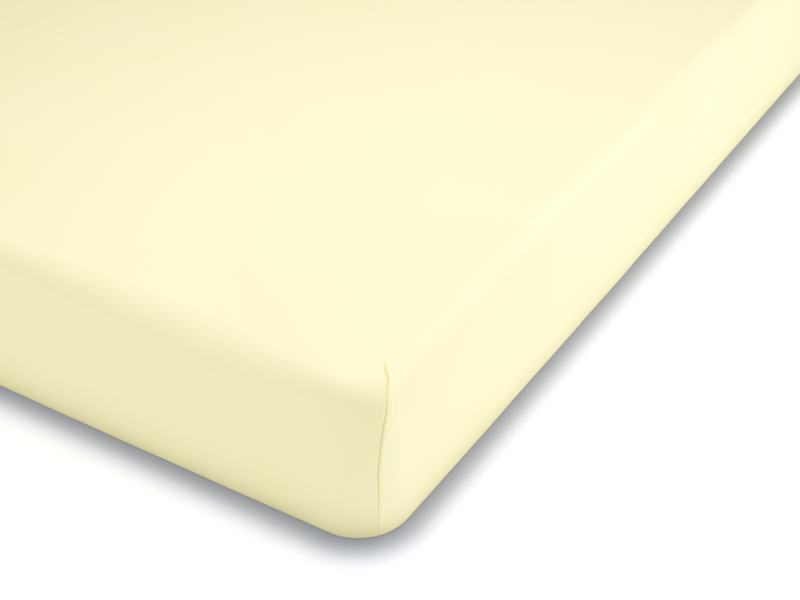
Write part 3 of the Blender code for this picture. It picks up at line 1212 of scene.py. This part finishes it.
@dataclass(frozen=True)
class PaintedFloor:
    """A board painted matt white and lit through: pale and even, with a faint orange-peel tooth.

    Its light washes out the shadows away from the bed, so the grey contact shadow where the bed
    stands on it is painted on, as a band round the bed's outline that darkens the board's colour
    and glow.
    """

    length: float
    width: float
    corner: float  # radius of the outline's corners
    # The painted contact shadow round the bed: how far out, as a share of its reach, and its shade
    # there.
    painted_shadow: tuple[tuple[float, str], ...] = (
        (0.000, "81848F"),
        (0.105, "838792"),
        (0.207, "8E929D"),
        (0.309, "9A9FAA"),
        (0.411, "ACB0BC"),
        (0.500, "BCC0CD"),
        (0.611, "CDD2DE"),
        (0.686, "D9DEE9"),
        (0.773, "E5E8F2"),
        (0.864, "EFF1F7"),
        (1.000, "F4F6F8"),
    )
    end_reach: float = 0.044  # how far the painted shadow reaches out from the bed's ends
    side_reach: float = 0.0405  # and from its long sides
    glow: float = 0.65
    roughness: float = 0.9
    tooth: float = 0.004

    def reached(self, tree: bpy.types.NodeTree, place: bpy.types.NodeSocket) -> bpy.types.Node:
        """How far a place lies out from the bed, as a share of the painted shadow's reach.

        Args:
            tree: The material's nodes.
            place: The place on the floor, from the middle of the bed.

        Returns:
            The node whose output is that share.
        """
        vector_node, math_node = "ShaderNodeVectorMath", "ShaderNodeMath"
        straight = (self.length / 2 - self.corner, self.width / 2 - self.corner, 1.0)
        folded = add_node(tree, vector_node, {"operation": "ABSOLUTE"}, {0: place})
        past = add_node(
            tree, vector_node, {"operation": "SUBTRACT"}, {0: folded.outputs[0], 1: straight}
        )
        clear = add_node(
            tree, vector_node, {"operation": "MAXIMUM"}, {0: past.outputs[0], 1: (0.0, 0.0, 0.0)}
        )
        far = add_node(tree, vector_node, {"operation": "LENGTH"}, {0: clear.outputs[0]})
        out = add_node(
            tree, math_node, {"operation": "SUBTRACT"}, {0: far.outputs["Value"], 1: self.corner}
        )
        # The painted shadow is wider at the ends, and turns smoothly from one width to the other.
        way = add_node(tree, vector_node, {"operation": "NORMALIZE"}, {0: clear.outputs[0]})
        axes = add_node(tree, "ShaderNodeSeparateXYZ", inputs={0: way.outputs[0]})
        endwise = add_node(
            tree, math_node, {"operation": "MULTIPLY"}, {0: axes.outputs[0], 1: axes.outputs[0]}
        )
        narrow = add_node(
            tree, math_node, {"operation": "MULTIPLY_ADD"},
            {
                0: endwise.outputs[0],
                1: 1 / self.end_reach - 1 / self.side_reach,
                2: 1 / self.side_reach,
            },
        )
        return add_node(
            tree, math_node, {"operation": "MULTIPLY"}, {0: out.outputs[0], 1: narrow.outputs[0]}
        )

    def material(self) -> bpy.types.Material:
        """The finish as a material.

        Returns:
            The material.
        """
        material, tree, shader = new_material("white_board_with_painted_shadow")
        place = add_node(tree, "ShaderNodeTexCoord").outputs["Object"]
        share = self.reached(tree, place)
        # The painted contact shadow: grey next to the bed, fading out to the board's white.
        painted_shadow_ramp = add_node(tree, "ShaderNodeValToRGB", inputs={0: share.outputs[0]})
        stops = painted_shadow_ramp.color_ramp.elements
        while len(stops) < len(self.painted_shadow):
            stops.new(1.0)
        for stop, (position, shade) in zip(stops, self.painted_shadow):
            stop.position = position
            stop.color = linear(shade)
        peel = add_node(
            tree, "ShaderNodeTexNoise", inputs={"Vector": place, "Scale": 1 / self.tooth}
        )
        bump = add_node(
            tree, "ShaderNodeBump",
            inputs={"Strength": 0.1, "Distance": 0.0001, "Height": peel.outputs[0]},
        )
        tree.links.new(bump.outputs[0], shader.inputs["Normal"])
        # The painted shadow darkens the board's colour and its glow alike.
        tree.links.new(painted_shadow_ramp.outputs[0], shader.inputs["Base Color"])
        tree.links.new(painted_shadow_ramp.outputs[0], shader.inputs["Emission Color"])
        shader.inputs["Emission Strength"].default_value = self.glow
        shader.inputs["Roughness"].default_value = self.roughness
        shader.inputs["Specular IOR Level"].default_value = 0.1
        return material


@dataclass
class Mattress:
    """The plain mattress under the sheet. Only its underside shows, inside the hem."""

    form: ClothForm
    skin: Skin = Skin(side=0.0045, face=0.0023, rounding=-0.004, sag=1.07)
    # The underside from its edge to the middle: how far in, and how high it lies. It gives way
    # over the hem, and comes down again inside it.
    underside: tuple[tuple[float, float], ...] = (
        (0.060, 0.0023),
        (0.085, 0.0036),
        (0.100, 0.0056),
        (0.120, 0.0056),
        (0.150, 0.0040),
        (0.220, 0.0030),
        (0.330, 0.0026),
        (0.440, 0.0026),
    )
    underside_spread: float = 0.5  # how much the radius of its corners grows, for each metre in
    underside_turn: float = 0.2  # how far in it begins to shrink
    underside_least: float = 0.004  # and the smallest that it comes to
    finish: CottonTicking = CottonTicking()

    def underside_row(self, columns: list[Column], inward: float, z: float) -> list[Vector]:
        """One loop of the underside.

        Args:
            columns: The columns that it crosses.
            inward: How far in from the side it lies.
            z: How high it lies.

        Returns:
            Its points.
        """
        section = Section(Zone.RETURN, inward, tuck=0.0, corner=1.0, lean=0.0)
        shrunk = max(inward - self.underside_turn, 0.0)
        radius = self.form.corner_radius + inward * self.underside_spread - shrunk
        row = []
        for column in columns:
            place, _ = self.form.plan_place(
                column, section, inward, max(radius, self.underside_least)
            )
            place.z = z
            row.append(place)
        return row

    def build(self) -> bpy.types.Object:
        """Loft the cover from the middle of the top to the middle of the underside.

        Returns:
            The mattress, dressed.
        """
        form = self.form
        loft = Loft("mattress_cover", form, form.columns())
        for level in HIDDEN_LEVELS:
            section = form.section_at(level)
            loft.add_row(level, [form.point(c, section, self.skin) for c in loft.columns])
        for inward, z in self.underside:
            loft.add_row(HEM + inward, self.underside_row(loft.columns, inward, z))
        piece = loft.build()
        piece.data.materials.append(self.finish.material())
        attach(piece, "root")
        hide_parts("mattress")
        log.info("%s: %d faces", piece.name, len(piece.data.polygons))
        return piece


@dataclass
class FittedSheet:
    """The sheet: one piece of jersey over the mattress, with its four seams and its hem."""

    form: ClothForm
    cloth: float = 0.0020
    flat: tuple[float, float] = (1.50, 2.60)  # the rectangle that it was cut from
    flat_area: float = 3.55  # without the four corner squares
    top_levels: tuple[float, ...] = (-1.0, -0.75, -0.5, -0.25)
    # From the hem up the inside, and back to the middle of the top.
    inner_levels: tuple[float, ...] = (18.7, 18.4, 18.0, 17.5, *reversed(HIDDEN_LEVELS))
    stitch_top: float = EDGE_TOP + 0.4  # the level where the corner stitches begin
    stitch_pitch: float = 0.0031  # of the corner seams
    stitch_reach: float = 0.0007  # half a stitch's length
    stitch_width: int = 3  # columns to each side that show which way a stitch crosses the seam
    stitch_thickness: float = 0.00022
    stitch_lift: float = 0.0003  # how far the stitches lie over the bottom of the groove
    hem_stitch_drop: float = 0.0001  # how far those of the hem lie below the cloth
    finish: CottonJersey = CottonJersey()
    thread: SewingThread = SewingThread()

    def outer_levels(self) -> list[float]:
        """The levels of the outside's loops.

        Returns:
            The levels, from the middle of the top to the hem.
        """
        levels = list(self.top_levels)
        for index, steps in enumerate(LOOP_STEPS):
            levels += [index + step / steps for step in range(steps)]
        return levels + [float(HEM)]

    def gathered(self, column: Column, section: Section, point: Vector, inside: bool) -> Vector:
        """Give a point of the return the hem's gathers, fold and line of stitches.

        Args:
            column: The line that the point is on.
            section: The loop that the point is on.
            point: The point.
            inside: Whether it is on the inside of the cloth.

        Returns:
            The point, moved where it is on the return.
        """
        if section.zone is not Zone.RETURN:
            return point
        form, hem = self.form, self.form.hem
        wave = hem.wave(column.run, form.around())
        from_edge = SECTIONS[HEM].place - section.place
        full, flat = (share * hem.width for share in hem.gather_fade)
        near = 1.0 - ramp(full, flat, from_edge)
        point.z += near * hem.gather_height * wave
        inward = Vector((-point.x / form.length, -point.y / form.width, 0.0)).normalized()
        point += inward * near * hem.scallop * (wave - 0.5)
        if inside:
            point.z += hem.fold * (1.0 - ramp(hem.width, hem.width + hem.fold_slope, from_edge))
        else:
            beside = from_edge - hem.stitch_offset
            point.z += hem.stitch_dent * bell(beside, hem.stitch_dent_reach)
        return point

    def cloth_row(self, columns: list[Column], level: float, skin: Skin) -> list[Vector]:
        """One loop of the cloth.

        Args:
            columns: The columns that it crosses.
            level: Its level.
            skin: The outside, which is the detailed one, or the inside.

        Returns:
            Its points.
        """
        section = self.form.section_at(level)
        return [
            self.gathered(c, section, self.form.point(c, section, skin), not skin.detailed)
            for c in columns
        ]

    def build_cloth(self) -> tuple[bpy.types.Object, Loft]:
        """Loft the cloth: down the outside, round the hem and up the inside.

        Returns:
            The cloth, and the loft that it was drawn from.
        """
        form = self.form
        loft = Loft("jersey_cloth", form, form.columns())
        outside = Skin(side=0.0, face=0.0, rounding=0.0, sag=1.0, detailed=True)
        inside = Skin(side=self.cloth, face=self.cloth, rounding=self.cloth, sag=1.0)
        for level in self.outer_levels():
            loft.add_row(level, self.cloth_row(loft.columns, level, outside))
        inner_hem = self.cloth_row(loft.columns, HEM, inside)
        fold = [
            low.lerp(high, 0.5) - form.hem.edge_bulge * Vector((low.x, low.y, 0.0)).normalized()
            for low, high in zip(loft.rows[-1], inner_hem)
        ]
        loft.add_row(HEM_FOLD, fold)
        loft.add_row(HEM, inner_hem, inside=True)
        for level in self.inner_levels:
            loft.add_row(level, self.cloth_row(loft.columns, level, inside), inside=True)
        return loft.build(), loft

    def add_stitch(
        self, bm: bmesh.types.BMesh, place: Vector, along: Vector, out: Vector, reach: float
    ) -> None:
        """Add one stitch: a short length of thread, thin at both ends where it goes in.

        Args:
            bm: The stitches so far.
            place: The stitch's middle.
            along: The way that it runs.
            out: The way out of the cloth.
            reach: Half its length.
        """
        along = along.normalized()
        out = (out - along * out.dot(along)).normalized()
        turn = Matrix((along, out.cross(along), out)).transposed().to_4x4()
        size = Matrix.Diagonal((reach, self.stitch_thickness, self.stitch_thickness, 1.0))
        matrix = Matrix.Translation(place) @ turn @ size
        bmesh.ops.create_icosphere(bm, subdivisions=1, radius=1.0, matrix=matrix)

    def finish_stitches(self, name: str, bm: bmesh.types.BMesh) -> bpy.types.Object:
        """Turn joined stitches into one dressed piece that rides on the bed.

        Args:
            name: The piece's name.
            bm: The stitches.

        Returns:
            The piece.
        """
        mesh = new_mesh(name, bm)
        mesh.shade_smooth()
        mesh.materials.append(self.thread.material())
        piece = new_object(name, mesh)
        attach(piece, "root")
        log.info("%s: %d faces", name, len(mesh.polygons))
        return piece

    def seam_stitches(self, loft: Loft) -> bpy.types.Object:
        """The stitches across the four seams, from the top's edge down to the foot.

        Args:
            loft: What the cloth was drawn from.

        Returns:
            The stitches as one piece.
        """
        bm = bmesh.new()
        rows = [
            loft.rows[row]
            for row, (level, inside) in enumerate(loft.flats)
            if not inside and self.stitch_top <= level <= SIDE_FOOT
        ]
        for index, column in enumerate(loft.columns):
            if column.span is not Span.SEAM or column.past_seam != 0.0:
                continue
            line = [row[index] for row in rows]
            for stretch, place in spaced(line, self.stitch_pitch):
                row, here = rows[stretch], line[stretch]
                across = row[index + self.stitch_width] - row[index - self.stitch_width]
                out = across.cross(line[stretch + 1] - here).normalized()
                if out.dot(Vector((here.x, here.y, 0.0))) + out.z < 0:
                    out = -out
                place += out * self.stitch_lift
                self.add_stitch(bm, place, across, out, self.stitch_reach)
        return self.finish_stitches("seam_stitches", bm)

    def hem_stitches(self, loft: Loft) -> bpy.types.Object:
        """The line of stitches that holds the hem, on the underside.

        Args:
            loft: What the cloth was drawn from.

        Returns:
            The stitches as one piece.
        """
        bm = bmesh.new()
        hem = self.form.hem
        inward = SECTIONS[HEM].place - hem.stitch_offset
        rows = [
            row
            for row, (level, inside) in enumerate(loft.flats)
            if not inside and FOOT_END < level <= HEM
        ]
        nearest = min(
            rows, key=lambda row: abs(self.form.section_at(loft.flats[row][0]).place - inward)
        )
        line = loft.rows[nearest] + loft.rows[nearest][:1]
        for stretch, place in spaced(line, hem.stitch_pitch):
            place.z = max(place.z - self.hem_stitch_drop, self.stitch_thickness)
            along = line[stretch + 1] - line[stretch]
            self.add_stitch(bm, place, along, -UP, hem.stitch_share * hem.stitch_pitch)
        return self.finish_stitches("hem_stitches", bm)

    def build(self) -> None:
        cloth, loft = self.build_cloth()
        cloth.data.materials.append(self.finish.material())
        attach(cloth, "root")
        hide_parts("fitted_sheet")
        log.info("%s: %d faces", cloth.name, len(cloth.data.polygons))
        stitches = [self.seam_stitches(loft), self.hem_stitches(loft)]


@dataclass(frozen=True)
class Softbox:
    """A flat soft light that the camera doesn't see."""

    name: str
    place: tuple[float, float, float]
    aim: tuple[float, float, float]
    size: float
    power: float
    shade: str = "FFFFFF"

    def build(self) -> bpy.types.Object:
        """Hang the light and turn it to what it lights.

        Returns:
            The light.
        """
        lamp = bpy.data.lights.new(self.name, "AREA")
        lamp.shape = "DISK"
        lamp.size = self.size
        lamp.energy = self.power
        lamp.color = linear(self.shade)[:3]
        box = new_object(self.name, lamp)
        box.location = self.place
        way = Vector(self.place) - Vector(self.aim)
        box.rotation_euler = way.to_track_quat("Z", "Y").to_euler()
        box.visible_camera = False
        return box


@dataclass(frozen=True)
class Studio:
    """The floor, the soft lights, and the camera at the photograph's place."""

    form: ClothForm
    floor_size: float = 30.0
    room_shade: str = "FFFFFF"
    room_light: float = 0.15
    boxes: tuple[Softbox, ...] = (
        Softbox("corner_softbox", (-0.679, -0.350, 1.350), (-0.70, -0.35, 0.15), 0.9, 24.6),
        Softbox("end_softbox", (-1.776, -0.160, 1.452), (-0.70, -0.35, 0.15), 0.9, 14.2),
        Softbox("side_softbox", (-0.301, -1.838, 0.868), (-0.70, -0.35, 0.15), 0.9, 4.9),
        Softbox("long_side_softbox", (0.2, -1.9, 0.5), (-0.20, -0.45, 0.10), 0.6, 17.6),
        Softbox("low_side_softbox", (-0.6, -1.8, 0.12), (-0.60, -0.45, 0.08), 0.2, 7.6),
        Softbox("low_end_softbox", (-2.3, 0.0, 0.12), (-1.00, 0.00, 0.08), 0.2, 5.8),
        Softbox("far_top_softbox", (0.75, 0.0, 1.6), (0.75, 0.00, 0.18), 0.9, 6.0),
        Softbox("far_near_softbox", (0.9, -1.9, 0.9), (0.60, -0.45, 0.10), 1.2, 6.0),
        Softbox("far_side_softbox", (0.6, 2.0, 0.9), (0.40, 0.45, 0.10), 1.2, 18.0),
        Softbox("far_end_softbox", (2.6, 0.3, 0.9), (1.00, 0.00, 0.10), 1.2, 18.0),
    )
    # How the film answers to light: it bends over before it is white, as a shoulder of
    # film_shoulder * (1 - exp(-light / film_shoulder)), and is white from film_white on.
    film_shoulder: float = 1.2
    film_white: float = 3.0
    film_knots: tuple[float, ...] = (0.0, 0.15, 0.35, 0.6, 0.9, 1.2, 1.5, 1.8, 2.15, 2.5, 3.0)
    # The camera's place from the photographed corner, in heights of the bed.
    camera_place: tuple[float, float, float] = (-4.305, -2.794, 5.161)
    camera_yaw: float = 31.76  # degrees from +X
    camera_pitch: float = 35.19  # degrees below level
    camera_reach: float = 1464.0  # focal length in pixels
    picture_width: int = 800
    sensor_width: float = 36.0  # in millimetres

    def build(self) -> None:
        """Set up the floor, the lights and the camera."""
        self.lay_floor()
        for box in self.boxes:
            box.build()
        world = bpy.data.worlds.new("white_room")
        world.use_nodes = True
        sky = world.node_tree.nodes["Background"]
        sky.inputs["Color"].default_value = linear(self.room_shade)
        sky.inputs["Strength"].default_value = self.room_light
        bpy.context.scene.world = world
        self.set_film()
        self.set_camera()

    def set_film(self) -> None:
        """Give the picture the photograph's soft shoulder, the same for every colour."""
        view = bpy.context.scene.view_settings
        view.view_transform = "Standard"
        view.look = "None"
        view.use_curve_mapping = True
        curves = view.curve_mapping
        curves.white_level = (self.film_white,) * 3
        combined = 3  # the curve that bends all three colours alike
        line = curves.curves[combined].points
        while len(line) < len(self.film_knots):
            line.new(0.5, 0.5)
        for knot, light in zip(line, self.film_knots):
            shown = self.film_shoulder * (1 - math.exp(-light / self.film_shoulder))
            knot.location = (light / self.film_white, min(shown, 1.0))
        curves.update()

    def lay_floor(self) -> None:
        """Lay a level floor under the bed."""
        bm = bmesh.new()
        bmesh.ops.create_grid(bm, x_segments=1, y_segments=1, size=self.floor_size / 2)
        mesh = new_mesh("floor", bm)
        form = self.form
        paint = PaintedFloor(form.length, form.width, form.corner_radius)
        mesh.materials.append(paint.material())
        piece = new_object("floor", mesh)

    def set_camera(self) -> None:
        """Put the camera where the photograph was taken from."""
        lens = bpy.data.cameras.new("camera")
        lens.sensor_width = self.sensor_width
        lens.lens = self.camera_reach * lens.sensor_width / self.picture_width
        camera = new_object("camera", lens)
        yaw, pitch = math.radians(self.camera_yaw), math.radians(self.camera_pitch)
        forward = Vector(
            (math.cos(yaw) * math.cos(pitch), math.sin(yaw) * math.cos(pitch), -math.sin(pitch))
        )
        right = Vector((math.sin(yaw), -math.cos(yaw), 0.0))
        matrix = Matrix((right, right.cross(forward), -forward)).transposed().to_4x4()
        corner = Vector((-self.form.length / 2, -self.form.width / 2, 0.0))
        matrix.translation = corner + Vector(self.camera_place) * self.form.height
        camera.matrix_world = matrix
        bpy.context.scene.camera = camera


def main() -> None:
    """Set up the studio, and build the mattress and the sheet on it."""
    logging.basicConfig(level=logging.INFO, format="%(name)s %(message)s")
    form = ClothForm()
    Studio(form).build()
    Mattress(form).build()
    FittedSheet(form).build()


if __name__ == "__main__":
    main()
